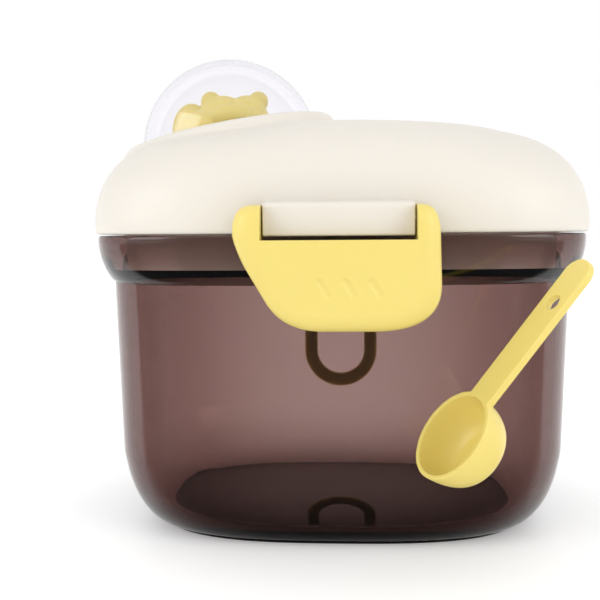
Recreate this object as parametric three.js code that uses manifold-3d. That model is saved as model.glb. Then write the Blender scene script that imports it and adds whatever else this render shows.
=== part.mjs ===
// A baby formula dispenser: a smoke-clear box with a domed flip lid, a front latch, a rear carry loop
// and a loose measuring scoop.
// Millimetres, +Z up. The origin is the centre of the flat underside, and -Y is the front, where the latch is.
import * as THREE from "three";
import { LoftGeometry } from "three/addons/geometries/LoftGeometry.js";
import { mergeVertices } from "three/addons/utils/BufferGeometryUtils.js";
import Module from "manifold-3d";

const wasm = await Module();
wasm.setup();

// ---- Driving dimensions ----

const gap = 0.3; // left between pieces that touch

// Plan outline, given by its half-width along X. The depth is less than the width by a fixed step.
const lidHalfX = 73.8;
const depthStep = 15; // half-width less half-depth
const planSoftPower = 2.8; // superellipse power of the small rings, at the base
const planSquarePower = 3.8; // and of the widest ring, at the lid's edge
const planSegments = 48;

const baseHalfX = 54.4;
const baseEdgeHalfX = 67.8; // where the big rounded bottom edge runs out
const baseEdgeZ = 24;
const bodyWall = 2.4;
const floorThickness = 3;
const bodyTopHalfX = 69.2;
const bodyTopZ = 75;
const collarHalfX = 73.1;
const collarCornerRise = 11;
const rimZ = 88.6;
const ledgeZ = 78; // sloping inner ledge where the collar steps out
const ledgeRise = 1.4;

const lidBottomZ = 89;
const lidSideHeight = 2;
const lidDomeRise = 31.6;
const lidWall = 2.8;
const lidSoftPower = 2; // plan power of the lid's small rings, near its top
const domeFlatness = 4.95; // how far out the top stays flat
const domeShoulder = 0.454; // how steeply the shoulder then falls

const plugHalfX = 67;
const plugBottomZ = 79.6;
const plugWall = 2.2;
const linerPlateZ = 90.3;
const linerPlateThickness = 2;

const seatCentreX = -36;
const seatCentreZ = 121.3;
const seatTilt = THREE.MathUtils.degToRad(-10.5);
const seatRadius = 34.5;
const seatRound = 3.5;
const recessDepth = 1;
const bubbleRadius = 28;
const bubbleWall = 1.8;
const bubbleCentreDrop = 4.8; // sphere centre below the seat plane

const pinRadius = 1.5;
const boreRadius = pinRadius + 0.35;
const hingeY = 67.5;
const hingeZ = 88;
const knuckleRadius = 3.6;

const latchPivotY = -64.5;
const latchPivotZ = 92.3;
const latchRight = 25.9;
const latchLeft = -26.9;
const latchBottomZ = 64.2;
const latchEarRadius = 4;
const latchPlateBackY = latchPivotY - 5.4;
const latchFrontY = latchPivotY - 8.8;
const latchRimBackY = latchPivotY + 2.6;
const latchWall = 3;
const blockHalfX = 19.2;
const blockFrontY = latchPivotY - 4.5;
const blockBottomZ = 88.4;
const blockTopZ = 97;

const ribHalfX = 17;
const hookHalfX = 12;
const ribBottomZ = 79;

const loopHalfX = 14.5;
const loopStroke = 5.2;
const loopThickness = 4;
const loopBottomZ = 27.6;

const bowlRadius = 12.3;
const bowlDepth = 11.4;
const scoopWall = 1.2;
const handleWidthAtBowl = 8.9;
const handleWidthAtTip = 9.2;
const handleThickness = 2;
const handleReach = 54; // bowl centre to the tip
const hangHoleRadius = 2.1;
const hangHoleInset = 13;
const scoopPlace = new THREE.Vector3(27.6, -74.4, 39.2);
const handleDirection = new THREE.Vector3(0.6, 0.013, 0.8).normalize();
const bowlOpening = new THREE.Vector3(-0.7425, -0.363, 0.563);

// ---- Materials ----

function finish(color, roughness, options = {}) {
  return new THREE.MeshStandardMaterial({ color, roughness, metalness: 0, ...options });
}

const creamPlastic = () => finish(0xf5eee2, 0.45);
const yellowPlastic = () => finish(0xf6e182, 0.4);
const smokeClear = () => finish(0x5a4038, 0.08, { transparent: true, opacity: 0.55 });
const clearPlastic = () => finish(0xebe8fa, 0.04, { transparent: true, opacity: 0.3 });
const silicone = () => finish(0xf2f0ee, 0.6);
const steel = () => finish(0xc9cacc, 0.25, { metalness: 1 });

// ---- Solids ----

function toSolid(geometry) {
  const bare = new THREE.BufferGeometry().copy(geometry);
  bare.deleteAttribute("normal");
  bare.deleteAttribute("uv");
  const merged = mergeVertices(bare, 1e-4);
  const vertProperties = merged.attributes.position.array;
  const triVerts = Uint32Array.from(merged.index.array);
  return new wasm.Manifold(new wasm.Mesh({ numProp: 3, vertProperties, triVerts }));
}

function toGeometry(solid) {
  const mesh = solid.getMesh();
  const geometry = new THREE.BufferGeometry();
  geometry.setAttribute("position", new THREE.BufferAttribute(mesh.vertProperties, 3));
  geometry.setIndex(new THREE.BufferAttribute(mesh.triVerts, 1));
  geometry.computeVertexNormals();
  return geometry;
}

function join(first, ...rest) {
  return toGeometry(rest.reduce((solid, next) => solid.add(toSolid(next)), toSolid(first)));
}

function cut(body, ...tools) {
  return toGeometry(tools.reduce((solid, tool) => solid.subtract(toSolid(tool)), toSolid(body)));
}

function common(first, second) {
  return toGeometry(toSolid(first).intersect(toSolid(second)));
}

function block(minX, maxX, minY, maxY, minZ, maxZ) {
  const geometry = new THREE.BoxGeometry(maxX - minX, maxY - minY, maxZ - minZ);
  return geometry.translate((minX + maxX) / 2, (minY + maxY) / 2, (minZ + maxZ) / 2);
}

// A round bar along X.
function bar(radius, minX, maxX, y, z, segments = 20) {
  const geometry = new THREE.CylinderGeometry(radius, radius, maxX - minX, segments);
  return geometry.rotateZ(Math.PI / 2).translate((minX + maxX) / 2, y, z);
}

function ellipsoid(radiusX, radiusY, radiusZ, x, y, z) {
  return new THREE.SphereGeometry(1, 14, 10).scale(radiusX, radiusY, radiusZ).translate(x, y, z);
}

// A shape drawn in (Y, Z), extruded along X.
const sideways = new THREE.Matrix4().makeBasis(
  new THREE.Vector3(0, 1, 0),
  new THREE.Vector3(0, 0, 1),
  new THREE.Vector3(1, 0, 0),
);

function sideProfile(shape, minX, maxX) {
  const geometry = new THREE.ExtrudeGeometry(shape, {
    depth: maxX - minX,
    bevelEnabled: false,
    curveSegments: 8,
  });
  return geometry.applyMatrix4(sideways).translate(minX, 0, 0);
}

// A shape drawn in (X, Z), extruded from frontY back to backY.
const frontways = new THREE.Matrix4().makeBasis(
  new THREE.Vector3(1, 0, 0),
  new THREE.Vector3(0, 0, 1),
  new THREE.Vector3(0, -1, 0),
);

function frontProfile(shape, frontY, backY, round = 0) {
  const geometry = new THREE.ExtrudeGeometry(shape, {
    depth: backY - frontY - round,
    bevelEnabled: round > 0,
    bevelThickness: round,
    bevelSize: round,
    bevelOffset: -round,
    bevelSegments: 3,
    curveSegments: 5,
  });
  return geometry.applyMatrix4(frontways).translate(0, backY, 0);
}

// Half-depth along Y that goes with a half-width along X: the step fades out towards the centre.
function halfDepth(halfX) {
  return halfX - depthStep * Math.min(1, halfX / baseHalfX);
}

// The plan is a superellipse, softer at the base than at the collar.
function planPower(halfX, softPower) {
  const shaped = Math.max(halfX, baseHalfX);
  return THREE.MathUtils.mapLinear(shaped, baseHalfX, lidHalfX, softPower, planSquarePower);
}

function planRing([halfX, z], softPower) {
  const halfY = halfDepth(halfX);
  const power = planPower(halfX, softPower);
  return Array.from({ length: planSegments }, (_, index) => {
    const angle = (index / planSegments) * 2 * Math.PI;
    const acrossX = Math.abs(Math.cos(angle) / halfX) ** power;
    const acrossY = Math.abs(Math.sin(angle) / halfY) ** power;
    const radius = (acrossX + acrossY) ** (-1 / power);
    return new THREE.Vector3(radius * Math.cos(angle), radius * Math.sin(angle), z);
  });
}

// Skins a profile of [half-width, z] pairs, from its lowest outline to its highest.
function planLoft(profile, softPower = planSoftPower) {
  const rings = profile.map((point) => planRing(point, softPower));
  return new LoftGeometry(rings, { capStart: true, capEnd: true });
}

function pointsOf(curve, divisions) {
  return curve.getPoints(divisions).map((point) => [point.x, point.y]);
}

// ---- Container ----

// The big rounded base edge, from the flat underside to the wall.
function baseEdge(inset, lift) {
  return new THREE.CubicBezierCurve(
    new THREE.Vector2(baseHalfX - inset, lift),
    new THREE.Vector2(60.8 - inset, lift),
    new THREE.Vector2(baseEdgeHalfX - 1.8 - inset, 9 + lift / 2),
    new THREE.Vector2(baseEdgeHalfX - inset, baseEdgeZ),
  );
}

function collarCorner() {
  const corner = new THREE.CubicBezierCurve(
    new THREE.Vector2(bodyTopHalfX, bodyTopZ),
    new THREE.Vector2(bodyTopHalfX + 1.4, bodyTopZ + 1),
    new THREE.Vector2(collarHalfX - 0.2, bodyTopZ + 6),
    new THREE.Vector2(collarHalfX, bodyTopZ + collarCornerRise),
  );
  return pointsOf(corner, 6);
}

// An ear from the collar, with a knuckle round the hinge pin.
function hingeEar(minX, maxX) {
  const shape = new THREE.Shape();
  shape.moveTo(57.2, 79.5);
  shape.lineTo(hingeY, hingeZ - knuckleRadius);
  shape.absarc(hingeY, hingeZ, knuckleRadius, -Math.PI / 2, Math.PI * 0.7, false);
  shape.lineTo(57.2, 86.8);
  return sideProfile(shape, minX, maxX);
}

function container() {
  const outside = [
    ...pointsOf(baseEdge(0, 0), 7),
    ...collarCorner(),
    [collarHalfX, rimZ],
  ];
  const inside = [
    ...pointsOf(baseEdge(bodyWall, floorThickness), 6),
    [bodyTopHalfX - bodyWall, ledgeZ],
    [collarHalfX - bodyWall, ledgeZ + ledgeRise],
    [collarHalfX - bodyWall, rimZ + 1],
  ];
  const bowl = cut(planLoft(outside), planLoft(inside));
  const catchRib = block(-ribHalfX, ribHalfX, -62.8, -57, ribBottomZ, ribBottomZ + 2.5);
  const ears = [
    hingeEar(-24.4, -20),
    hingeEar(-8.4, 8.4),
    hingeEar(20, 24.4),
  ];
  return cut(join(bowl, catchRib, ...ears), bar(boreRadius, -30, 30, hingeY, hingeZ));
}

// ---- Lid ----

// The lid's dome from its side wall to near its top, drawn in by an inset all round.
function lidDome(inset) {
  const steps = 9;
  const nearTop = THREE.MathUtils.degToRad(86);
  return Array.from({ length: steps + 1 }, (_, index) => {
    const height = Math.sin((index / steps) * nearTop);
    const halfX = (lidHalfX - inset) * (1 - height ** (1 / domeShoulder)) ** (1 / domeFlatness);
    return [halfX, lidBottomZ + lidSideHeight + (lidDomeRise - inset) * height];
  });
}

function seatFrame() {
  return new THREE.Matrix4()
    .makeRotationY(seatTilt)
    .setPosition(seatCentreX, 0, seatCentreZ);
}

function turned(points, segments) {
  const profile = points.map(([radius, height]) => new THREE.Vector2(radius, height));
  return new THREE.LatheGeometry(profile, segments).rotateX(Math.PI / 2);
}

// The raised round seat for the bubble, with a rounded shoulder.
function bubbleSeat() {
  const shoulder = new THREE.EllipseCurve(
    seatRadius - seatRound,
    -seatRound,
    seatRound,
    seatRound,
    0,
    Math.PI / 2,
  );
  const profile = [[0, -16], [seatRadius, -16], ...pointsOf(shoulder, 4), [0, 0]];
  return turned(profile, 40).applyMatrix4(seatFrame());
}

// A round pocket in line with the seat. Cut from the lid it is the bubble's shallow recess, and cut from the
// lid's hollow it leaves a wall under that recess.
function seatPocket(radius, floor) {
  const profile = [[0, floor], [radius, floor], [radius, 8], [0, 8]];
  return turned(profile, 40).applyMatrix4(seatFrame());
}

// An arm from the lid's back wall to a knuckle on the hinge pin.
function lidArm(minX, maxX) {
  const shape = new THREE.Shape();
  shape.moveTo(57, lidBottomZ + gap);
  shape.lineTo(60.4, lidBottomZ + gap);
  shape.lineTo(hingeY - knuckleRadius * 0.6, hingeZ - knuckleRadius * 0.8);
  shape.absarc(hingeY, hingeZ, knuckleRadius, -Math.PI * 0.7, Math.PI * 0.45, false);
  shape.lineTo(57, lidBottomZ + 7);
  return sideProfile(shape, minX, maxX);
}

// The boss between the latch's ears.
function latchBlock() {
  const shape = new THREE.Shape();
  shape.moveTo(-55, lidBottomZ + gap);
  shape.lineTo(-59.7, lidBottomZ + gap);
  shape.lineTo(-60.4, blockBottomZ);
  shape.lineTo(blockFrontY + 0.8, blockBottomZ);
  shape.lineTo(blockFrontY, blockBottomZ + 0.8);
  shape.lineTo(blockFrontY, blockTopZ - 1.5);
  shape.lineTo(blockFrontY + 1.5, blockTopZ);
  shape.lineTo(-55, blockTopZ + 1);
  return sideProfile(shape, -blockHalfX, blockHalfX);
}

function lidShell() {
  const outside = planLoft([[lidHalfX, lidBottomZ], ...lidDome(0)], lidSoftPower);
  const dome = planLoft([[lidHalfX - lidWall, lidBottomZ - 1], ...lidDome(lidWall)], lidSoftPower);
  const hollow = cut(dome, seatPocket(seatRadius - lidWall, -recessDepth - lidWall));
  const outer = join(outside, bubbleSeat(), latchBlock());
  const shell = cut(outer, hollow, seatPocket(bubbleRadius + gap, -recessDepth));
  const arms = [lidArm(-19.3, -15.2), lidArm(15.2, 19.3)];
  return cut(
    join(shell, ...arms),
    bar(boreRadius, -30, 30, hingeY, hingeZ),
    bar(boreRadius, -blockHalfX - 5, blockHalfX + 5, latchPivotY, latchPivotZ),
  );
}

// The inner panel: a plate that closes the shell, with a plug wall that drops into the collar.
function lidLiner() {
  const body = planLoft([
    [plugHalfX, plugBottomZ],
    [plugHalfX, linerPlateZ],
    [lidHalfX - lidWall - gap, linerPlateZ],
    [lidHalfX - lidWall - gap, linerPlateZ + linerPlateThickness],
  ], lidSoftPower);
  const recess = planLoft([
    [plugHalfX - plugWall, plugBottomZ - 1],
    [plugHalfX - plugWall, linerPlateZ],
  ], lidSoftPower);
  return cut(body, recess);
}

// The silicone ring that is squeezed between the rim and the liner's plate.
function lidSeal() {
  const outer = planLoft([
    [lidHalfX - lidWall - gap, rimZ + gap],
    [lidHalfX - lidWall - gap, linerPlateZ - gap],
  ], lidSoftPower);
  const opening = planLoft([
    [plugHalfX + gap, rimZ - 1],
    [plugHalfX + gap, linerPlateZ + 1],
  ], lidSoftPower);
  return cut(outer, opening);
}

// ---- Latch ----

// Front outline: the left side slants in downwards and the right side is upright.
function latchOutline() {
  const topZ = latchPivotZ + latchEarRadius;
  const shape = new THREE.Shape();
  shape.moveTo(latchLeft + 5, topZ);
  shape.quadraticCurveTo(latchLeft, topZ, latchLeft, topZ - 7);
  shape.quadraticCurveTo(latchLeft, 87, latchLeft + 2.8, 81);
  shape.lineTo(-18.4, 71.3);
  shape.quadraticCurveTo(-13.9, latchBottomZ, -4, latchBottomZ);
  shape.lineTo(10, latchBottomZ);
  shape.quadraticCurveTo(latchRight, latchBottomZ + 0.4, latchRight, 76);
  shape.lineTo(latchRight - 0.4, topZ - 6);
  shape.quadraticCurveTo(latchRight - 1, topZ, latchRight - 5, topZ);
  return shape;
}

// Side outline: flat front, rounded top round the pivot, and a back edge that tapers to the bottom.
function latchSide() {
  const shape = new THREE.Shape();
  shape.moveTo(latchFrontY, latchBottomZ - 2);
  shape.lineTo(latchPlateBackY + 1.5, latchBottomZ - 2);
  shape.lineTo(latchRimBackY, 72);
  shape.lineTo(latchPivotY + latchEarRadius, 88);
  shape.lineTo(latchPivotY + latchEarRadius, latchPivotZ);
  shape.absarc(latchPivotY, latchPivotZ, latchEarRadius, 0, Math.PI / 2, false);
  shape.lineTo(latchFrontY + 3, latchPivotZ + latchEarRadius);
  shape.quadraticCurveTo(
    latchFrontY,
    latchPivotZ + latchEarRadius,
    latchFrontY,
    latchPivotZ + latchEarRadius - 3,
  );
  return shape;
}

// The hollow behind the front plate, open at the back.
function latchHollow() {
  const shape = new THREE.Shape();
  shape.moveTo(-blockHalfX - 0.5, 87.5);
  shape.lineTo(-14.5, 70.5);
  shape.quadraticCurveTo(-11.5, latchBottomZ + latchWall, -4, latchBottomZ + latchWall);
  shape.lineTo(10, latchBottomZ + latchWall);
  shape.quadraticCurveTo(latchRight - latchWall, latchBottomZ + latchWall, latchRight - latchWall, 76);
  shape.lineTo(blockHalfX + 0.5, 87.5);
  return frontProfile(shape, latchPlateBackY, latchPivotY + 10);
}

function latch() {
  const round = 3.6;
  const pad = frontProfile(latchOutline(), latchFrontY, latchPivotY + 12, round);
  const body = common(pad, sideProfile(latchSide(), latchLeft - 1, latchRight + 1));
  const slotHalfX = blockHalfX + 0.4;
  const slot = block(-slotHalfX, slotHalfX, -90, -50, 87.4, 110);
  const shell = cut(body, latchHollow(), slot);
  const hook = block(-hookHalfX, hookHalfX, latchPlateBackY - 0.5, -61, 75.5, ribBottomZ - 0.7);
  const grooves = [-3.6, 2.9, 9.4].map((x) => gripGroove(x));
  return cut(
    join(shell, hook),
    bar(boreRadius, latchLeft + 2, latchRight - 2, latchPivotY, latchPivotZ),
    ...grooves,
  );
}

// A shallow slanted groove in the latch's face.
function gripGroove(x) {
  const groove = new THREE.CapsuleGeometry(1.3, 4.4, 3, 8);
  groove.rotateX(Math.PI / 2).rotateY(THREE.MathUtils.degToRad(-32));
  return groove.translate(x, latchFrontY - 0.85, 75.3);
}

// ---- Carry loop ----

// A long U of flat bar with an eye at each end, hanging from the hinge pin.
function carryLoop() {
  const outerRadius = loopHalfX;
  const innerRadius = loopHalfX - loopStroke;
  const turnZ = loopBottomZ + outerRadius;
  const outline = new THREE.Shape();
  outline.moveTo(-outerRadius, hingeZ);
  outline.absarc(0, turnZ, outerRadius, Math.PI, 2 * Math.PI, false);
  outline.lineTo(outerRadius, hingeZ);
  outline.lineTo(innerRadius, hingeZ);
  outline.absarc(0, turnZ, innerRadius, 2 * Math.PI, Math.PI, true);
  outline.lineTo(-innerRadius, hingeZ);
  const strap = new THREE.ExtrudeGeometry(outline, {
    depth: loopThickness - 1.2,
    bevelThickness: 0.6,
    bevelSize: 0.6,
    bevelOffset: -0.6,
    bevelSegments: 1,
    curveSegments: 10,
  });
  strap.applyMatrix4(frontways).translate(0, hingeY + loopThickness / 2 - 0.6, 0);
  const eyes = [
    bar(knuckleRadius, -outerRadius + 0.2, -innerRadius - 0.2, hingeY, hingeZ),
    bar(knuckleRadius, innerRadius + 0.2, outerRadius - 0.2, hingeY, hingeZ),
  ];
  return cut(join(strap, ...eyes), bar(boreRadius, -20, 20, hingeY, hingeZ));
}

// ---- Bubble and figure, in the seat's frame ----

// The clear cap: part of a hollow sphere, open below.
function bubble() {
  const bottom = -recessDepth + gap;
  const cap = (radius) => {
    const start = Math.asin((bottom + bubbleCentreDrop) / radius);
    return new THREE.EllipseCurve(0, -bubbleCentreDrop, radius, radius, start, Math.PI / 2);
  };
  const outside = pointsOf(cap(bubbleRadius), 7);
  const inside = pointsOf(cap(bubbleRadius - bubbleWall), 7).reverse();
  return turned([...inside, ...outside], 32);
}

// A plain sitting creature: a low mound with two round ears and two shoulders, no face.
function figure() {
  const lumps = [
    ellipsoid(16, 11.5, 8.5, -2.2, 0, 0),
    ellipsoid(9.5, 10, 11, -1.5, 0, 1.2),
    ellipsoid(8, 10, 11, 6, 0, 1.2),
    ellipsoid(6.5, 7, 9.2, -12, 0.5, 0.8),
    ellipsoid(3.3, 2.8, 3.3, -5.6, 0, 10.4),
    ellipsoid(3.3, 2.8, 3.3, 9.8, 0, 10.2),
    ellipsoid(7.5, 4.5, 4, 2.5, -8.5, 4.5),
  ];
  const upright = lumps.map((lump) => lump.rotateY(-seatTilt));
  return cut(join(...upright), block(-40, 40, -40, 40, -40, gap - recessDepth));
}

// ---- Scoop, in its own frame: x along the handle, z out of the bowl ----

function scoopHandle() {
  const rootHalf = handleWidthAtBowl / 2;
  const tipHalf = handleWidthAtTip / 2;
  const tipCentre = handleReach - tipHalf;
  const shape = new THREE.Shape();
  shape.moveTo(bowlRadius - 3, -rootHalf);
  shape.lineTo(tipCentre, -tipHalf);
  shape.absarc(tipCentre, 0, tipHalf, -Math.PI / 2, Math.PI / 2, false);
  shape.lineTo(bowlRadius - 3, rootHalf);
  const hole = new THREE.Path();
  hole.absarc(handleReach - hangHoleInset, 0, hangHoleRadius, 0, 2 * Math.PI, true);
  shape.holes.push(hole);
  const settings = { depth: handleThickness, bevelEnabled: false, curveSegments: 8 };
  return new THREE.ExtrudeGeometry(shape, settings).translate(0, 0, -handleThickness);
}

function bowlProfile(radius, depth, bottomZ) {
  const flat = radius * 0.45;
  return new THREE.CubicBezierCurve(
    new THREE.Vector2(flat, bottomZ),
    new THREE.Vector2(flat + (radius - flat) * 0.6, bottomZ),
    new THREE.Vector2(radius - 0.4, bottomZ + depth * 0.35),
    new THREE.Vector2(radius, 0),
  );
}

function scoop() {
  const innerRadius = bowlRadius - scoopWall;
  const innerDepth = bowlDepth - scoopWall;
  const outside = [[0, -bowlDepth], ...pointsOf(bowlProfile(bowlRadius, bowlDepth, -bowlDepth), 6)];
  const inside = pointsOf(bowlProfile(innerRadius, innerDepth, -innerDepth), 6);
  const bowl = turned([...outside, ...[...inside].reverse(), [0, -innerDepth]], 32);
  const hollow = turned([[0, -innerDepth], ...inside, [innerRadius, 1], [0, 1]], 32);
  return join(cut(scoopHandle(), hollow), bowl);
}

// ---- Assembly ----

function piece(name, geometry, material) {
  const mesh = new THREE.Mesh(geometry, material);
  mesh.name = name;
  return mesh;
}

const dispenser = new THREE.Group();

dispenser.add(
  piece("container", container(), smokeClear()),
  piece("hinge_pin", bar(pinRadius, -24.2, 24.2, hingeY, hingeZ), steel()),
  piece("carry_loop", carryLoop(), yellowPlastic()),
);

const lid = new THREE.Group();
lid.add(
  piece("lid_shell", lidShell(), creamPlastic()),
  piece("lid_liner", lidLiner(), creamPlastic()),
  piece("lid_seal", lidSeal(), silicone()),
  piece("latch_pin", bar(pinRadius, latchLeft + 2.3, latchRight - 2.3, latchPivotY, latchPivotZ), steel()),
  piece("latch", latch(), yellowPlastic()),
);
dispenser.add(lid);

const seat = new THREE.Group();
seat.applyMatrix4(seatFrame());
seat.add(
  piece("bubble", bubble(), clearPlastic()),
  piece("figure", figure(), yellowPlastic()),
);
lid.add(seat);

const looseScoop = piece("scoop", scoop(), yellowPlastic());
const scoopAcross = new THREE.Vector3().crossVectors(bowlOpening, handleDirection).normalize();
const scoopUp = new THREE.Vector3().crossVectors(handleDirection, scoopAcross);
looseScoop.applyMatrix4(new THREE.Matrix4().makeBasis(handleDirection, scoopAcross, scoopUp));
looseScoop.position.copy(scoopPlace);
dispenser.add(looseScoop);

export default dispenser;
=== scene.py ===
import math

import bpy
import numpy as np
from mathutils import Matrix, Vector


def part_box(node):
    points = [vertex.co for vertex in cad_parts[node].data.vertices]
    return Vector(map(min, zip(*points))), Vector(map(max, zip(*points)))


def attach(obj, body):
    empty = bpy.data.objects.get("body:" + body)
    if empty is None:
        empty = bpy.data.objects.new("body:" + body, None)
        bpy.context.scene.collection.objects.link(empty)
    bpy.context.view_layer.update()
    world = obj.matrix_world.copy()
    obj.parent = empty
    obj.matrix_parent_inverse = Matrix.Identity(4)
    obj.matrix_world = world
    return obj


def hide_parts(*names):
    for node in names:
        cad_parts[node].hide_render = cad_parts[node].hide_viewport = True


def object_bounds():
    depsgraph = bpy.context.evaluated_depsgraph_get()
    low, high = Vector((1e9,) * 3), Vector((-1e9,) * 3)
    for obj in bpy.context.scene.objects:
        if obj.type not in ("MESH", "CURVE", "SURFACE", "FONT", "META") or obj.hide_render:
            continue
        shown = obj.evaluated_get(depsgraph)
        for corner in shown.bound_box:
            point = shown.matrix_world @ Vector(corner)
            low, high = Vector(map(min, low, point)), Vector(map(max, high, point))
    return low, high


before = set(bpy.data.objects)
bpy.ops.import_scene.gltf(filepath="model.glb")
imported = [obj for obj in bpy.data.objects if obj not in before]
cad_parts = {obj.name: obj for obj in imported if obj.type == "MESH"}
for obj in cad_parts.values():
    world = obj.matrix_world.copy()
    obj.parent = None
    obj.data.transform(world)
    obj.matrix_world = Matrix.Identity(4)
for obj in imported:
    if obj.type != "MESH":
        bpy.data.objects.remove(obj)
cad_low, cad_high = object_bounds()

# Sizes are in metres, in the frame of the CAD part: +Z up, the front towards -Y, the underside at Z 0.

# ---- Plan outline, given by its half-width along X ----

BASE_HALF = 0.0544
LID_HALF = 0.0738
DEPTH_STEP = 0.015
SOFT_POWER = 2.8
SQUARE_POWER = 3.8
PLAN_POINTS = 192

# ---- Container ----

EDGE_HALF = 0.0678
EDGE_Z = 0.024
EDGE_BEND_HALF = 0.0608
EDGE_BEND_Z = 0.009
WALL = 0.0024
FLOOR = 0.003
BODY_TOP_HALF = 0.0692
BODY_TOP_Z = 0.075
COLLAR_HALF = 0.0731
COLLAR_RISE = 0.011
RIM_Z = 0.0886
LEDGE_Z = 0.078
LEDGE_RISE = 0.0014

# ---- Lid ----

LID_LOW = 0.089
LID_SIDE = 0.002
LID_RISE = 0.0316
LID_WALL = 0.0028
LID_SOFT_POWER = 2.0
DOME_FLATNESS = 4.95
DOME_SHOULDER = 0.454
PLUG_HALF = 0.067
PLUG_LOW = 0.0796
PLATE_LOW = 0.0903
PLATE_THICK = 0.002
FIT_GAP = 0.0003

SEAT_CENTRE = Vector((-0.036, 0.0, 0.1213))
SEAT_TILT = math.radians(-10.5)
SEAT_RADIUS = 0.0345
SEAT_ROUND = 0.0035
RECESS = 0.001
BUBBLE_RADIUS = 0.028
BUBBLE_WALL = 0.0018
BUBBLE_DROP = 0.0048

# ---- Hinge, latch and loop ----

PIN_RADIUS = 0.0015
BORE_RADIUS = 0.00185
KNUCKLE_RADIUS = 0.0036
HINGE_Y = 0.0675
HINGE_Z = 0.088
EAR_ROOT_Y = 0.0572
OUTER_EAR = (0.020, 0.0244)
MIDDLE_EAR_HALF = 0.0084
ARM_ROOT_Y = 0.057
LID_ARM = (0.0152, 0.0193)
LATCH_Y = -0.0645
LATCH_Z = 0.0923
LATCH_FRONT = LATCH_Y - 0.0088
LATCH_PLATE_BACK = LATCH_Y - 0.0054
BLOCK_HALF = 0.0192
BLOCK_FRONT = LATCH_Y - 0.0045
LATCH_LEFT = -0.0269
LATCH_RIGHT = 0.0259
LATCH_LOW = 0.0642
LATCH_WALL = 0.003
SLOT_Z = 0.0874
GROOVE_RADIUS = 0.0013
GROOVE_LEAN = math.radians(-32)
GROOVES_X = (-0.0036, 0.0029, 0.0094)

LOOP_HALF = 0.0145
LOOP_STROKE = 0.0052
LOOP_THICK = 0.004
LOOP_LOW = 0.0276

# ---- Scoop, in its own frame: x along the handle, z out of the bowl ----

BOWL_RADIUS = 0.0123
BOWL_DEPTH = 0.0114
SCOOP_WALL = 0.0012
HANDLE_ROOT = 0.0089
HANDLE_TIP = 0.0092
HANDLE_THICK = 0.002
HANDLE_REACH = 0.054
HOLE_RADIUS = 0.0021
HOLE_INSET = 0.013
SCOOP_PLACE = Vector((0.0276, -0.0744, 0.0392))
HANDLE_DIRECTION = Vector((0.6, 0.013, 0.8)).normalized()
BOWL_OPENING = Vector((-0.7425, -0.363, 0.563))


# ---- Mesh helpers ----

def new_object(name, vertices, faces):
    mesh = bpy.data.meshes.new(name)
    mesh.from_pydata([tuple(v) for v in vertices], [], faces)
    mesh.update()
    made = bpy.data.objects.new(name, mesh)
    bpy.context.scene.collection.objects.link(made)
    return made


def skin(name, rings, loop=False):
    """Faces between equal rings of points. An open run of rings gets a flat face at each end."""
    rings = np.asarray(rings, float)
    rows, columns = rings.shape[:2]
    faces = []
    for row in range(rows if loop else rows - 1):
        above = (row + 1) % rows
        for column in range(columns):
            beside = (column + 1) % columns
            faces.append((
                row * columns + column,
                row * columns + beside,
                above * columns + beside,
                above * columns + column,
            ))
    if not loop:
        faces.append(tuple(reversed(range(columns))))
        faces.append(tuple((rows - 1) * columns + column for column in range(columns)))
    return new_object(name, rings.reshape(-1, 3), faces)


def settle(thing):
    """Applies every modifier to the mesh."""
    graph = bpy.context.evaluated_depsgraph_get()
    made = bpy.data.meshes.new_from_object(thing.evaluated_get(graph))
    thing.modifiers.clear()
    old = thing.data
    thing.data = made
    bpy.data.meshes.remove(old)
    return thing


def drop(thing):
    mesh = thing.data
    bpy.data.objects.remove(thing)
    bpy.data.meshes.remove(mesh)


def merge(name, parts):
    """One object that holds the meshes of several, each still its own shell."""
    vertices = []
    faces = []
    for part in parts:
        start = len(vertices)
        vertices += [part.matrix_world @ v.co for v in part.data.vertices]
        faces += [tuple(start + i for i in p.vertices) for p in part.data.polygons]
    for part in parts:
        drop(part)
    return new_object(name, vertices, faces)


def fuse(name, parts, voxel, smoothing):
    """Melts overlapping closed parts into one skin with soft edges."""
    made = merge(name, parts)
    remesh = made.modifiers.new("fuse", "REMESH")
    remesh.mode = "VOXEL"
    remesh.voxel_size = voxel
    soften = made.modifiers.new("soften", "SMOOTH")
    soften.factor = 0.5
    soften.iterations = smoothing
    return settle(made)


def combine(target, tool, operation="DIFFERENCE"):
    """Cuts the tool from the target, or joins or keeps the common part, and takes the tool away."""
    bpy.context.view_layer.update()
    change = target.modifiers.new("combine", "BOOLEAN")
    change.operation = operation
    change.solver = "EXACT"
    change.object = tool
    settle(target)
    drop(tool)
    return target


def smooth(thing, crease=40):
    """Smooth shading, with edges sharper than crease degrees kept hard."""
    mesh = thing.data
    mesh.shade_smooth()
    mesh.set_sharp_from_angle(angle=math.radians(crease))
    return thing


def place(thing, matrix):
    thing.data.transform(matrix)
    return thing


# ---- Shape helpers ----

def arc(centre, radii, start, end, steps):
    """Points [across, up] on a part of an ellipse, angles in degrees."""
    angles = np.radians(np.linspace(start, end, steps + 1))
    return [
        (centre[0] + radii[0] * math.cos(a), centre[1] + radii[1] * math.sin(a))
        for a in angles
    ]


def bezier(points, steps):
    p = np.asarray(points, float)
    t = np.linspace(0, 1, steps + 1)[:, None]
    s = 1 - t
    return [tuple(v) for v in s**3 * p[0] + 3 * s**2 * t * p[1] + 3 * s * t**2 * p[2] + t**3 * p[3]]


def line(start, end, steps):
    return [tuple(v) for v in np.linspace(start, end, steps + 1)]


def half_depth(half):
    return half - DEPTH_STEP * min(1, half / BASE_HALF)


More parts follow.
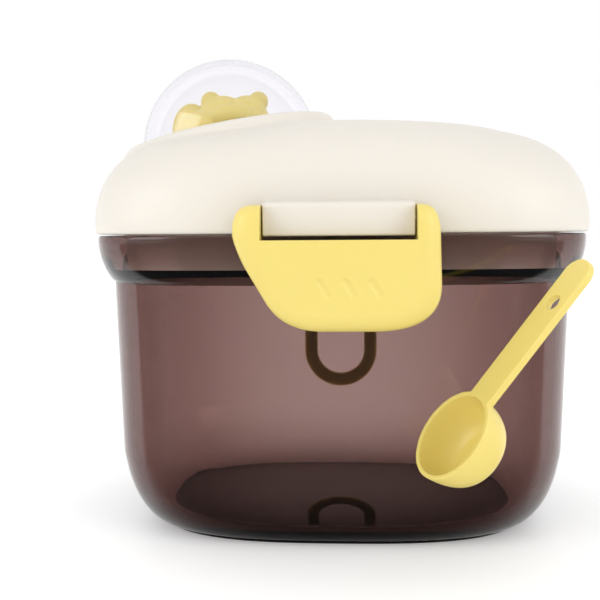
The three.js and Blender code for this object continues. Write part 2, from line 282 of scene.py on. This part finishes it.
def plan_ring(half, z, soft_power):
    angle = np.linspace(0, 2 * math.pi, PLAN_POINTS, endpoint=False)
    share = max(0, (half - BASE_HALF) / (LID_HALF - BASE_HALF))
    power = soft_power + (SQUARE_POWER - soft_power) * share
    across = np.abs(np.cos(angle) / half) ** power
    deep = np.abs(np.sin(angle) / half_depth(half)) ** power
    radius = (across + deep) ** (-1 / power)
    return np.stack([radius * np.cos(angle), radius * np.sin(angle), np.full_like(angle, z)], 1)


def plan_loft(name, profile, soft_power=SOFT_POWER, loop=False):
    return skin(name, [plan_ring(half, z, soft_power) for half, z in profile], loop)


def turned(name, profile, points=96, loop=False):
    """A solid turned about Z from points [radius, z], lowest outside first."""
    angle = np.linspace(0, 2 * math.pi, points, endpoint=False)
    rings = [
        np.stack([r * np.cos(angle), r * np.sin(angle), np.full_like(angle, z)], 1)
        for r, z in profile
    ]
    return skin(name, rings, loop)


def bar(name, radius, low_x, high_x, y, z, chamfer=0.0, points=48):
    """A round bar along X, with its ends chamfered."""
    profile = [
        (radius - chamfer, low_x),
        (radius, low_x + chamfer),
        (radius, high_x - chamfer),
        (radius - chamfer, high_x),
    ] if chamfer else [(radius, low_x), (radius, high_x)]
    made = turned(name, profile, points)
    place(made, Matrix.Rotation(math.pi / 2, 4, "Y"))
    return place(made, Matrix.Translation((0, y, z)))


def bore(thing, low_x, high_x, y, z):
    """Cuts a running fit for a pin along X."""
    return combine(thing, bar("bore", BORE_RADIUS, low_x, high_x, y, z))


def slab(name, low, high):
    corners = [(low[0], low[1]), (high[0], low[1]), (high[0], high[1]), (low[0], high[1])]
    rings = [[(x, y, z) for x, y in corners] for z in (low[2], high[2])]
    return skin(name, rings)


def extruded(name, outline, low, high, axes):
    """An outline of [u, v] points drawn along axes[0] and axes[1], run along axes[2] from low to high."""
    u, v, w = (Vector(axis) for axis in axes)
    rings = [[tuple(u * a + v * b + w * depth) for a, b in outline] for depth in (low, high)]
    return skin(name, rings)


SIDE_AXES = ((0, 1, 0), (0, 0, 1), (1, 0, 0))
FRONT_AXES = ((1, 0, 0), (0, 0, 1), (0, -1, 0))


# ---- Camera ----

def make_camera():
    """A near, level view from in front, with the box a little to the right of the middle."""
    data = bpy.data.cameras.new("camera")
    data.sensor_width = 36
    data.lens = 55.1
    data.clip_start = 0.01
    data.clip_end = 20
    camera = bpy.data.objects.new("camera", data)
    bpy.context.scene.collection.objects.link(camera)
    turn, pitch, roll = math.radians(2.75), math.radians(-4.37), math.radians(-0.4)
    camera.location = (0.0013, -0.3003, 0.090)
    aim = Vector((
        -math.sin(turn) * math.cos(pitch),
        math.cos(turn) * math.cos(pitch),
        math.sin(pitch),
    ))
    camera.rotation_mode = "QUATERNION"
    camera.rotation_quaternion = (
        aim.to_track_quat("-Z", "Y") @ Matrix.Rotation(roll, 3, "Z").to_quaternion()
    )
    bpy.context.scene.camera = camera


# ---- Materials ----

def node_material(name):
    material = bpy.data.materials.new(name)
    material.use_nodes = True
    return material, material.node_tree.nodes, material.node_tree.links


def noise(nodes, links, coordinates, scale, detail=3.0):
    texture = nodes.new("ShaderNodeTexNoise")
    texture.inputs["Scale"].default_value = scale
    texture.inputs["Detail"].default_value = detail
    links.new(coordinates.outputs["Object"], texture.inputs["Vector"])
    return texture.outputs["Fac"]


def spread(nodes, links, source, low, high):
    """Stretches a noise to the range low to high."""
    spreader = nodes.new("ShaderNodeMapRange")
    spreader.inputs["From Min"].default_value = 0.3
    spreader.inputs["From Max"].default_value = 0.7
    spreader.inputs["To Min"].default_value = low
    spreader.inputs["To Max"].default_value = high
    links.new(source, spreader.inputs["Value"])
    return spreader.outputs["Result"]


def grain(nodes, links, shader, source, depth, strength):
    bump = nodes.new("ShaderNodeBump")
    bump.inputs["Distance"].default_value = depth
    bump.inputs["Strength"].default_value = strength
    links.new(source, bump.inputs["Height"])
    links.new(bump.outputs["Normal"], shader.inputs["Normal"])


def moulded(name, light, dark, roughness, glow=0.0):
    """Opaque moulded plastic: a faint cloudy drift of colour, uneven gloss and a fine satin grain."""
    material, nodes, links = node_material(name)
    shader = nodes["Principled BSDF"]
    coordinates = nodes.new("ShaderNodeTexCoord")
    ramp = nodes.new("ShaderNodeValToRGB")
    ramp.color_ramp.elements[0].position = 0.3
    ramp.color_ramp.elements[0].color = (*dark, 1)
    ramp.color_ramp.elements[1].position = 0.7
    ramp.color_ramp.elements[1].color = (*light, 1)
    links.new(noise(nodes, links, coordinates, 28, 4), ramp.inputs["Fac"])
    links.new(ramp.outputs["Color"], shader.inputs["Base Color"])
    gloss = noise(nodes, links, coordinates, 160, 4)
    links.new(spread(nodes, links, gloss, roughness - 0.05, roughness + 0.05), shader.inputs["Roughness"])
    grain(nodes, links, shader, noise(nodes, links, coordinates, 2400, 2), 0.00003, 0.35)
    shader.inputs["IOR"].default_value = 1.46
    shader.inputs["Subsurface Weight"].default_value = glow
    shader.inputs["Subsurface Radius"].default_value = (0.004, 0.0025, 0.0015)
    shader.inputs["Subsurface Scale"].default_value = 0.5
    return material


def clear(name, absorb, density, roughness, ripple):
    """Transparent plastic whose tint builds up with the thickness that light passes."""
    material, nodes, links = node_material(name)
    shader = nodes["Principled BSDF"]
    shader.inputs["Base Color"].default_value = (1, 1, 1, 1)
    shader.inputs["Transmission Weight"].default_value = 1
    shader.inputs["IOR"].default_value = 1.49
    coordinates = nodes.new("ShaderNodeTexCoord")
    gloss = noise(nodes, links, coordinates, 60, 3)
    links.new(spread(nodes, links, gloss, roughness, roughness + 0.012), shader.inputs["Roughness"])
    grain(nodes, links, shader, noise(nodes, links, coordinates, 45, 1), 0.0002, ripple)
    volume = nodes.new("ShaderNodeVolumeAbsorption")
    volume.inputs["Color"].default_value = (*absorb, 1)
    volume.inputs["Density"].default_value = density
    links.new(volume.outputs["Volume"], nodes["Material Output"].inputs["Volume"])
    return material


def metal(name):
    material, nodes, links = node_material(name)
    shader = nodes["Principled BSDF"]
    shader.inputs["Base Color"].default_value = (0.62, 0.62, 0.63, 1)
    shader.inputs["Metallic"].default_value = 1
    coordinates = nodes.new("ShaderNodeTexCoord")
    drawn = noise(nodes, links, coordinates, 900, 3)
    links.new(spread(nodes, links, drawn, 0.2, 0.38), shader.inputs["Roughness"])
    grain(nodes, links, shader, drawn, 0.00002, 0.4)
    return material


CREAM = moulded("cream_plastic", (0.702, 0.662, 0.598), (0.688, 0.648, 0.582), 0.42, 0.1)
YELLOW = moulded("yellow_plastic", (0.752, 0.61, 0.172), (0.738, 0.597, 0.164), 0.36, 0.1)
# The figure is the same yellow plastic as the latch and scoop, given a brighter colour: painted light that
# makes up for the light the clear bubble keeps from it.
FIGURE_BRIGHTENED_YELLOW = moulded("figure_yellow_painted_brighter", (0.95, 0.78, 0.22), (0.935, 0.765, 0.21), 0.4, 0.1)
SMOKE = clear("smoke_clear", (0.333, 0.08, 0.036), 396, 0.0, 0.04)
BUBBLE = clear("bubble_clear", (0.75, 0.62, 0.97), 30, 0.02, 0.0)
SILICONE = moulded("white_silicone", (0.80, 0.79, 0.77), (0.77, 0.76, 0.75), 0.6, 0.1)
STEEL = metal("pin_steel")


def finish_piece(thing, material, body, slot, *nodes):
    thing.data.materials.clear()
    thing.data.materials.append(material)
    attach(thing, body)
    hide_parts(*nodes)
    return thing


# ---- Container ----

def base_edge(inset, lift, steps):
    return bezier([
        (BASE_HALF - inset, lift),
        (EDGE_BEND_HALF - inset, lift),
        (EDGE_HALF - 0.0018 - inset, EDGE_BEND_Z + lift / 2),
        (EDGE_HALF - inset, EDGE_Z),
    ], steps)


def hinge_ear(low_x, high_x):
    outline = [(EAR_ROOT_Y, 0.0795)]
    outline += arc((HINGE_Y, HINGE_Z), (KNUCKLE_RADIUS, KNUCKLE_RADIUS), -90, 126, 24)
    outline += [(EAR_ROOT_Y, 0.0868)]
    return extruded("ear", outline, low_x, high_x, SIDE_AXES)


def make_container():
    inner_half = COLLAR_HALF - WALL
    edge = 0.0006
    outside = [(0.02, 0), (0.045, 0)]
    outside += base_edge(0, 0, 26)
    outside += line((EDGE_HALF, EDGE_Z), (BODY_TOP_HALF, BODY_TOP_Z), 10)[1:]
    outside += bezier([
        (BODY_TOP_HALF, BODY_TOP_Z),
        (BODY_TOP_HALF + 0.0014, BODY_TOP_Z + 0.001),
        (COLLAR_HALF - 0.0002, BODY_TOP_Z + 0.006),
        (COLLAR_HALF, BODY_TOP_Z + COLLAR_RISE),
    ], 20)[1:]
    outside += line((COLLAR_HALF, BODY_TOP_Z + COLLAR_RISE), (COLLAR_HALF, RIM_Z - edge), 3)[1:]
    outside += arc((COLLAR_HALF - edge, RIM_Z - edge), (edge, edge), 0, 90, 5)[1:]
    inside = arc((inner_half + edge, RIM_Z - edge), (edge, edge), 90, 180, 5)
    inside += line((inner_half, RIM_Z - edge), (inner_half, LEDGE_Z + LEDGE_RISE), 4)[1:]
    inside += line((inner_half, LEDGE_Z + LEDGE_RISE), (BODY_TOP_HALF - WALL, LEDGE_Z), 3)[1:]
    inside += line((BODY_TOP_HALF - WALL, LEDGE_Z), (EDGE_HALF - WALL, EDGE_Z), 10)[1:]
    inside += list(reversed(base_edge(WALL, FLOOR, 24)))[1:]
    inside += [(0.045, FLOOR), (0.02, FLOOR)]
    box = plan_loft("container_clear", outside + inside)
    rib = slab("rib", (-0.017, -0.0628, 0.079), (0.017, -0.057, 0.0815))
    near, far = OUTER_EAR
    ears = [hinge_ear(-far, -near), hinge_ear(-MIDDLE_EAR_HALF, MIDDLE_EAR_HALF), hinge_ear(near, far)]
    for part in (rib, *ears):
        combine(box, part, "UNION")
    bore(box, -0.03, 0.03, HINGE_Y, HINGE_Z)
    return smooth(box, 30)


# ---- Lid ----

def lid_dome(inset, steps, last=89):
    profile = []
    for angle in np.radians(np.linspace(0, last, steps + 1)):
        height = math.sin(angle)
        half = (LID_HALF - inset) * (1 - height ** (1 / DOME_SHOULDER)) ** (1 / DOME_FLATNESS)
        profile.append((half, LID_LOW + LID_SIDE + (LID_RISE - inset) * height))
    return profile


SEAT_FRAME = Matrix.Translation(SEAT_CENTRE) @ Matrix.Rotation(SEAT_TILT, 4, "Y")


def lid_arm(low_x, high_x):
    outline = [(ARM_ROOT_Y, LID_LOW + FIT_GAP), (0.0604, LID_LOW + FIT_GAP)]
    outline += arc((HINGE_Y, HINGE_Z), (KNUCKLE_RADIUS, KNUCKLE_RADIUS), -126, 81, 24)
    outline += [(ARM_ROOT_Y, LID_LOW + 0.007)]
    return extruded("arm", outline, low_x, high_x, SIDE_AXES)


def latch_block():
    """The block between the latch's ears, with fine rounded edges."""
    low_z, high_z, edge = 0.0884, 0.097, 0.0006
    outline = [(-0.0604, low_z), (-0.0597, LID_LOW + FIT_GAP)]
    outline += [(-0.054, LID_LOW + FIT_GAP), (-0.054, high_z + 0.001)]
    outline += arc((BLOCK_FRONT + 0.0015, high_z - 0.0015), (0.0015, 0.0015), 90, 180, 6)
    outline += arc((BLOCK_FRONT + edge, low_z + edge), (edge, edge), 180, 270, 4)
    block = extruded("block", outline[::-1], -BLOCK_HALF, BLOCK_HALF, SIDE_AXES)
    bevel = block.modifiers.new("edges", "BEVEL")
    bevel.width = 0.0004
    bevel.segments = 3
    bevel.limit_method = "ANGLE"
    bevel.angle_limit = math.radians(40)
    return settle(block)


def seat_pocket(radius, floor):
    return place(turned("pocket", [(radius, floor), (radius, 0.008)], 128), SEAT_FRAME)


def make_lid_shell():
    edge = 0.0008
    outer = arc((LID_HALF - edge, LID_LOW + edge), (edge, edge), -90, 0, 4)[:-1] + lid_dome(0, 48)
    dome = plan_loft("dome", [(0.03, LID_LOW)] + outer, LID_SOFT_POWER)
    seat_profile = [(0.001, -0.016), (SEAT_RADIUS, -0.016), (SEAT_RADIUS, -SEAT_ROUND)]
    seat_profile += arc((SEAT_RADIUS - SEAT_ROUND, -SEAT_ROUND), (SEAT_ROUND, SEAT_ROUND), 0, 90, 12)[1:]
    seat_profile += [(0.001, 0)]
    seat = place(turned("seat", seat_profile, 128), SEAT_FRAME)
    shell = fuse("lid_shell_moulding", [dome, seat], 0.0006, 6)
    combine(shell, latch_block(), "UNION")
    inner = [(LID_HALF - LID_WALL, LID_LOW - 0.002)] + lid_dome(LID_WALL, 30)
    hollow = plan_loft("hollow", inner, LID_SOFT_POWER)
    combine(hollow, seat_pocket(SEAT_RADIUS - LID_WALL, -RECESS - LID_WALL))
    combine(shell, hollow)
    combine(shell, seat_pocket(BUBBLE_RADIUS + FIT_GAP, -RECESS))
    near, far = LID_ARM
    for arm in (lid_arm(-far, -near), lid_arm(near, far)):
        combine(shell, arm, "UNION")
    bore(shell, -0.03, 0.03, HINGE_Y, HINGE_Z)
    bore(shell, -0.024, 0.024, LATCH_Y, LATCH_Z)
    return smooth(shell, 40)


def make_liner():
    edge = 0.0006
    plate_half = LID_HALF - LID_WALL - FIT_GAP
    profile = [(0.03, PLATE_LOW), (PLUG_HALF - 0.0022, PLATE_LOW), (PLUG_HALF - 0.0022, PLUG_LOW + edge)]
    profile += arc((PLUG_HALF - 0.0022 + edge, PLUG_LOW + edge), (edge, edge), 180, 270, 4)[1:]
    profile += arc((PLUG_HALF - edge, PLUG_LOW + edge), (edge, edge), -90, 0, 4)
    profile += [(PLUG_HALF, PLATE_LOW), (plate_half, PLATE_LOW), (plate_half, PLATE_LOW + PLATE_THICK)]
    profile += [(0.03, PLATE_LOW + PLATE_THICK)]
    return smooth(plan_loft("lid_liner_moulding", profile, LID_SOFT_POWER), 35)


def make_seal():
    inner, outer = PLUG_HALF + FIT_GAP, LID_HALF - LID_WALL - FIT_GAP
    low, high = RIM_Z + FIT_GAP, PLATE_LOW - FIT_GAP
    centre = ((inner + outer) / 2, (low + high) / 2)
    section = []
    for angle in np.radians(np.arange(-90, 270, 15)):
        across, up = math.cos(angle), math.sin(angle)
        section.append((
            centre[0] + (outer - inner) / 2 * math.copysign(abs(across) ** 0.5, across),
            centre[1] + (high - low) / 2 * math.copysign(abs(up) ** 0.5, up),
        ))
    return smooth(plan_loft("lid_seal_ring", section, LID_SOFT_POWER, loop=True), 60)


# ---- Latch ----

def quadratic(start, bend, end, steps=14):
    p = np.asarray([start, bend, end], float)
    t = np.linspace(0, 1, steps + 1)[:, None]
    return [tuple(v) for v in (1 - t) ** 2 * p[0] + 2 * (1 - t) * t * p[1] + t**2 * p[2]]


def latch_outline():
    """Counter-clockwise from the top of the left ear, in [x, z]."""
    left, right, low, top = LATCH_LEFT, LATCH_RIGHT, LATCH_LOW, LATCH_Z + 0.004
    outline = quadratic((left + 0.005, top), (left, top), (left, top - 0.007))
    outline += quadratic((left, top - 0.007), (left, 0.087), (left + 0.0028, 0.081))[1:]
    outline += line((left + 0.0028, 0.081), (-0.0184, 0.0713), 6)[1:]
    outline += quadratic((-0.0184, 0.0713), (-0.0139, low), (-0.004, low))[1:]
    outline += line((-0.004, low), (0.010, low), 5)[1:]
    outline += quadratic((0.010, low), (right, low + 0.0004), (right, 0.076), 20)[1:]
    outline += line((right, 0.076), (right - 0.0004, top - 0.006), 6)[1:]
    outline += quadratic((right - 0.0004, top - 0.006), (right - 0.001, top), (right - 0.005, top))[1:]
    return outline


def drawn_in(outline, inset):
    """The outline moved inwards along its own normals."""
    p = np.asarray(outline, float)
    along = np.roll(p, -1, 0) - np.roll(p, 1, 0)
    inward = np.stack([-along[:, 1], along[:, 0]], 1)
    inward /= np.linalg.norm(inward, axis=1)[:, None]
    return p + inward * inset


def latch_pad():
    """The outline as a pad with a broad rounded front edge."""
    outline = latch_outline()
    back = LATCH_Y + 0.008
    rings = [[(x, back, z) for x, z in outline]]
    for angle in np.radians(np.linspace(0, 90, 11)):
        inset = 0.0048 * (1 - math.cos(angle))
        y = LATCH_FRONT + 0.0042 * (1 - math.sin(angle))
        rings.append([(x, y, z) for x, z in drawn_in(outline, inset)])
    return fuse("pad", [skin("pad", rings)], 0.0004, 4)


def latch_side():
    """What the pad is trimmed to, seen from the side."""
    ear = 0.004
    outline = [(LATCH_FRONT - 0.001, 0.060), (LATCH_PLATE_BACK + 0.0015, 0.060)]
    outline += [(LATCH_Y + 0.0026, 0.072), (LATCH_Y + ear, 0.088)]
    outline += arc((LATCH_Y, LATCH_Z), (ear, ear), 0, 90, 10)
    outline += arc((LATCH_FRONT + 0.003, LATCH_Z + ear - 0.003), (0.003, 0.003), 90, 180, 8)
    outline += [(LATCH_FRONT - 0.001, LATCH_Z)]
    return extruded("side", outline, -0.03, 0.03, SIDE_AXES)


def latch_hollow():
    low = LATCH_LOW + LATCH_WALL
    right = LATCH_RIGHT - LATCH_WALL
    outline = [(-BLOCK_HALF - 0.0005, 0.0875), (-0.0145, 0.0705)]
    outline += quadratic((-0.0145, 0.0705), (-0.0115, low), (-0.004, low))[1:]
    outline += [(0.010, low)]
    outline += quadratic((0.010, low), (right, low), (right, 0.076))[1:]
    outline += [(BLOCK_HALF + 0.0005, 0.0875)]
    return extruded("hollow", outline, -LATCH_Y - 0.01, -LATCH_PLATE_BACK, FRONT_AXES)


def grip_groove(x):
    radii = (GROOVE_RADIUS, GROOVE_RADIUS)
    profile = arc((0, -0.0022), radii, -85, 0, 6) + arc((0, 0.0022), radii, 0, 85, 6)
    groove = turned("groove", profile, 32)
    place(groove, Matrix.Rotation(GROOVE_LEAN, 4, "Y"))
    return place(groove, Matrix.Translation((x, LATCH_FRONT - 0.00085, 0.0753)))


def make_latch():
    body = latch_pad()
    combine(body, latch_side(), "INTERSECT")
    combine(body, latch_hollow())
    hook = slab("hook", (-0.012, LATCH_PLATE_BACK - 0.0005, 0.0755), (0.012, -0.061, 0.0783))
    combine(body, hook, "UNION")
    for x in GROOVES_X:
        combine(body, grip_groove(x))
    body = fuse("latch_moulding", [body], 0.0003, 4)
    slot = BLOCK_HALF + 0.0004
    combine(body, slab("slot", (-slot, -0.09, SLOT_Z), (slot, -0.05, 0.11)))
    bore(body, LATCH_LEFT + 0.002, LATCH_RIGHT - 0.002, LATCH_Y, LATCH_Z)
    return smooth(body, 50)


# ---- Carry loop ----

def make_loop():
    """A U of rounded bar, swept down one leg, round the bottom and up the other."""
    middle = LOOP_HALF - LOOP_STROKE / 2
    turn_z = LOOP_LOW + LOOP_HALF
    path = line((-middle, HINGE_Z), (-middle, turn_z), 24)
    path += arc((0, turn_z), (middle, middle), 180, 360, 36)[1:]
    path += line((middle, turn_z), (middle, HINGE_Z), 24)[1:]
    path = np.asarray(path, float)
    along = np.gradient(path, axis=0)
    along /= np.linalg.norm(along, axis=1)[:, None]
    outwards = np.stack([along[:, 1], -along[:, 0]], 1)
    section = []
    for angle in np.radians(np.arange(0, 360, 15)):
        across, deep = math.cos(angle), math.sin(angle)
        section.append((
            LOOP_STROKE / 2 * math.copysign(abs(across) ** 0.6, across),
            LOOP_THICK / 2 * math.copysign(abs(deep) ** 0.6, deep),
        ))
    rings = [
        [(p[0] + n[0] * a, HINGE_Y + b, p[1] + n[1] * a) for a, b in section]
        for p, n in zip(path, outwards)
    ]
    strap = skin("strap", rings)
    eyes = [
        bar("eye", KNUCKLE_RADIUS, side * middle - 0.0024, side * middle + 0.0024, HINGE_Y, HINGE_Z, 0.0004)
        for side in (-1, 1)
    ]
    loop = fuse("carry_loop_moulding", [strap, *eyes], 0.0003, 4)
    bore(loop, -0.02, 0.02, HINGE_Y, HINGE_Z)
    return smooth(loop, 50)


# ---- Bubble and figure ----

def make_bubble():
    bottom = -RECESS + FIT_GAP

    def cap(radius, steps, closing):
        start = math.degrees(math.asin((bottom + BUBBLE_DROP) / radius))
        return arc((0, -BUBBLE_DROP), (radius, radius), start, closing, steps)

    inside = cap(BUBBLE_RADIUS - BUBBLE_WALL, 64, 89.8)[::-1]
    outside = cap(BUBBLE_RADIUS, 64, 89.8)
    return smooth(place(turned("bubble_cap", inside + outside, 256), SEAT_FRAME), 40)


def ball(radii, centre):
    made = turned("ball", arc((0, 0), (1, 1), -88, 88, 24), 36)
    return place(made, Matrix.Translation(centre) @ Matrix.Diagonal((*radii, 1)))


def make_figure():
    """A plain rounded animal shape without a face."""
    lumps = [
        ball((0.0160, 0.0115, 0.0085), (-0.0022, 0, 0)),
        ball((0.0095, 0.010, 0.011), (-0.0015, 0, 0.0012)),
        ball((0.0080, 0.010, 0.011), (0.006, 0, 0.0012)),
        ball((0.0065, 0.007, 0.0092), (-0.012, 0.0005, 0.0008)),
        ball((0.0033, 0.0028, 0.0033), (-0.0056, 0, 0.0104)),
        ball((0.0033, 0.0028, 0.0033), (0.0098, 0, 0.0102)),
        ball((0.0075, 0.0045, 0.004), (0.0025, -0.0085, 0.0045)),
    ]
    made = fuse("figure_moulding", lumps, 0.0004, 4)
    place(made, Matrix.Rotation(-SEAT_TILT, 4, "Y"))
    combine(made, slab("cut", (-0.04, -0.04, -0.04), (0.04, 0.04, -RECESS + FIT_GAP)))
    return smooth(place(made, SEAT_FRAME), 50)


# ---- Scoop ----

def bowl_curve(radius, depth, steps):
    flat = radius * 0.45
    return bezier([
        (flat, -depth),
        (flat + (radius - flat) * 0.6, -depth),
        (radius - 0.0004, -depth * 0.65),
        (radius, 0),
    ], steps)


def scoop_handle():
    tip = HANDLE_TIP / 2
    centre = HANDLE_REACH - tip
    start = BOWL_RADIUS - 0.003
    outline = line((start, -HANDLE_ROOT / 2), (centre, -tip), 12)
    outline += arc((centre, 0), (tip, tip), -90, 90, 24)[1:]
    outline += line((centre, tip), (start, HANDLE_ROOT / 2), 12)[1:]
    handle = extruded("handle", outline, -HANDLE_THICK, 0, ((1, 0, 0), (0, 1, 0), (0, 0, 1)))
    hole_x = HANDLE_REACH - HOLE_INSET
    hole = place(
        turned("hole", [(HOLE_RADIUS, -0.01), (HOLE_RADIUS, 0.01)], 40),
        Matrix.Translation((hole_x, 0, 0)),
    )
    return combine(handle, hole)


def make_scoop():
    inner_radius, inner_depth = BOWL_RADIUS - SCOOP_WALL, BOWL_DEPTH - SCOOP_WALL
    outside = [(0.001, -BOWL_DEPTH)] + bowl_curve(BOWL_RADIUS, BOWL_DEPTH, 30)
    inside = bowl_curve(inner_radius, inner_depth, 30)
    bowl = turned("bowl", outside + inside[::-1] + [(0.001, -inner_depth)], 96)
    hollow = turned("hollow", [(0.001, -inner_depth)] + inside + [(inner_radius, 0.005)], 96)
    handle = combine(scoop_handle(), hollow)
    scoop = fuse("scoop_moulding", [bowl, handle], 0.00026, 3)
    across = BOWL_OPENING.cross(HANDLE_DIRECTION).normalized()
    opening = HANDLE_DIRECTION.cross(across)
    turn = Matrix((HANDLE_DIRECTION, across, opening)).transposed().to_4x4()
    return smooth(place(scoop, Matrix.Translation(SCOOP_PLACE) @ turn), 50)


# ---- Stage ----

LAMP_OUT = 1.5
LAMP_Y = -0.95
LAMP_Z = 0.75
LAMP_SIZE = 1.1
LAMP_WATTS = 9


def shown_bright(nodes, links, level):
    """The level, but full strength where the camera looks directly and for light on matt surfaces."""
    path = nodes.new("ShaderNodeLightPath")
    for kind in ("Is Camera Ray", "Diffuse Depth"):
        greater = nodes.new("ShaderNodeMath")
        greater.operation = "MAXIMUM"
        greater.use_clamp = True
        links.new(level, greater.inputs[0])
        links.new(path.outputs[kind], greater.inputs[1])
        level = greater.outputs["Value"]
    return level


def make_floor():
    """A white floor, which mirrored and refracted rays find dark in front of the box: painted shade in the
    box's reflections. It also glows faintly, painted light that lightens the contact shadow.
    """
    half = 4.0
    corners = [(-half, -half, 0), (half, -half, 0), (half, half, 0), (-half, half, 0)]
    floor = new_object("floor", corners, [(0, 1, 2, 3)])
    material, nodes, links = node_material("floor")
    shader = nodes["Principled BSDF"]
    shader.inputs["Roughness"].default_value = 0.6
    coordinates = nodes.new("ShaderNodeTexCoord")
    parts = nodes.new("ShaderNodeSeparateXYZ")
    links.new(coordinates.outputs["Object"], parts.inputs["Vector"])
    front = nodes.new("ShaderNodeMapRange")
    front.interpolation_type = "SMOOTHSTEP"
    front.inputs["From Min"].default_value = -0.05
    front.inputs["From Max"].default_value = -0.03
    front.inputs["To Min"].default_value = 0.05
    links.new(parts.outputs["Y"], front.inputs["Value"])
    level = shown_bright(nodes, links, front.outputs["Result"])
    shade = nodes.new("ShaderNodeMix")
    shade.data_type = "RGBA"
    shade.inputs["A"].default_value = (0.03, 0.03, 0.03, 1)
    shade.inputs["B"].default_value = (0.95, 0.95, 0.95, 1)
    links.new(level, shade.inputs["Factor"])
    links.new(shade.outputs["Result"], shader.inputs["Base Color"])
    # Painted light: a faint glow on the white floor that lightens the shadow under the box and lights the
    # box from below.
    lift = nodes.new("ShaderNodeMath")
    lift.operation = "MULTIPLY"
    lift.inputs[1].default_value = 0.2
    links.new(level, lift.inputs[0])
    links.new(lift.outputs["Value"], shader.inputs["Emission Strength"])
    shader.inputs["Emission Color"].default_value = (1, 1, 1, 1)
    floor.data.materials.append(material)
    floor.location.z = cad_low.z - 0.0004


def make_contact_shade():
    """A dark sheet the size of the foot under the box: painted shade standing in for the contact shadow, so
    that the clear bottom looks dark.
    """
    shadow_card = plan_loft("shadow_card", [(BASE_HALF + 0.002, -0.0003), (BASE_HALF + 0.002, -0.0001)])
    material, nodes, _ = node_material("shadow_card")
    nodes["Principled BSDF"].inputs["Base Color"].default_value = (0.02, 0.018, 0.018, 1)
    nodes["Principled BSDF"].inputs["Roughness"].default_value = 0.9
    shadow_card.data.materials.append(material)


def make_world():
    """White all round, a little darker overhead. Mirrored and refracted rays find it dark in front."""
    world = bpy.data.worlds.new("world")
    bpy.context.scene.world = world
    world.use_nodes = True
    nodes, links = world.node_tree.nodes, world.node_tree.links
    direction = nodes.new("ShaderNodeTexCoord")
    parts = nodes.new("ShaderNodeSeparateXYZ")
    links.new(direction.outputs["Generated"], parts.inputs["Vector"])
    levels = []
    for axis, low, high, at_low, at_high in (
        ("Y", -0.95, -0.6, 0.08, 1.0),
        ("Z", 0.2, 1.0, 1.0, 0.9),
    ):
        level = nodes.new("ShaderNodeMapRange")
        level.interpolation_type = "SMOOTHSTEP"
        level.inputs["From Min"].default_value = low
        level.inputs["From Max"].default_value = high
        level.inputs["To Min"].default_value = at_low
        level.inputs["To Max"].default_value = at_high
        links.new(parts.outputs[axis], level.inputs["Value"])
        levels.append(level)
    product = nodes.new("ShaderNodeMath")
    product.operation = "MULTIPLY"
    for socket, level in zip(product.inputs, levels):
        links.new(level.outputs["Result"], socket)
    strength = shown_bright(nodes, links, product.outputs["Value"])
    links.new(strength, nodes["Background"].inputs["Strength"])
    nodes["Background"].inputs["Color"].default_value = (1, 1, 1, 1)


def make_lamps():
    for name, side in (("key", -1), ("fill", 1)):
        data = bpy.data.lights.new(name, "AREA")
        data.size = LAMP_SIZE
        data.energy = LAMP_WATTS
        lamp = bpy.data.objects.new(name, data)
        lamp.location = (side * LAMP_OUT, LAMP_Y, LAMP_Z)
        lamp.rotation_mode = "QUATERNION"
        lamp.rotation_quaternion = (Vector((0, 0, 0.06)) - lamp.location).to_track_quat("-Z", "Y")
        bpy.context.scene.collection.objects.link(lamp)


make_camera()
make_world()
make_lamps()
make_floor()
make_contact_shade()
bpy.context.scene.view_settings.view_transform = "Standard"

finish_piece(make_container(), SMOKE, "box", "smoke_clear", "container")
finish_piece(make_loop(), YELLOW, "loop", "yellow_plastic", "carry_loop")
finish_piece(make_lid_shell(), CREAM, "lid", "cream_plastic", "lid_shell")
finish_piece(make_liner(), CREAM, "lid", "cream_plastic", "lid_liner")
finish_piece(make_seal(), SILICONE, "lid", "white_silicone", "lid_seal")
finish_piece(make_bubble(), BUBBLE, "lid", "bubble_clear", "bubble")
finish_piece(make_figure(), FIGURE_BRIGHTENED_YELLOW, "lid", "yellow_plastic", "figure")
finish_piece(make_latch(), YELLOW, "latch", "yellow_plastic", "latch")
finish_piece(make_scoop(), YELLOW, "scoop", "yellow_plastic", "scoop")

for pin_node, pin_body, pin_y, pin_z in (
    ("hinge_pin", "box", HINGE_Y, HINGE_Z),
    ("latch_pin", "lid", LATCH_Y, LATCH_Z),
):
    low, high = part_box(pin_node)
    pin = bar(pin_node + "_turned", PIN_RADIUS, low.x, high.x, pin_y, pin_z, 0.0003)
    finish_piece(smooth(pin), STEEL, pin_body, "pin_steel", pin_node)
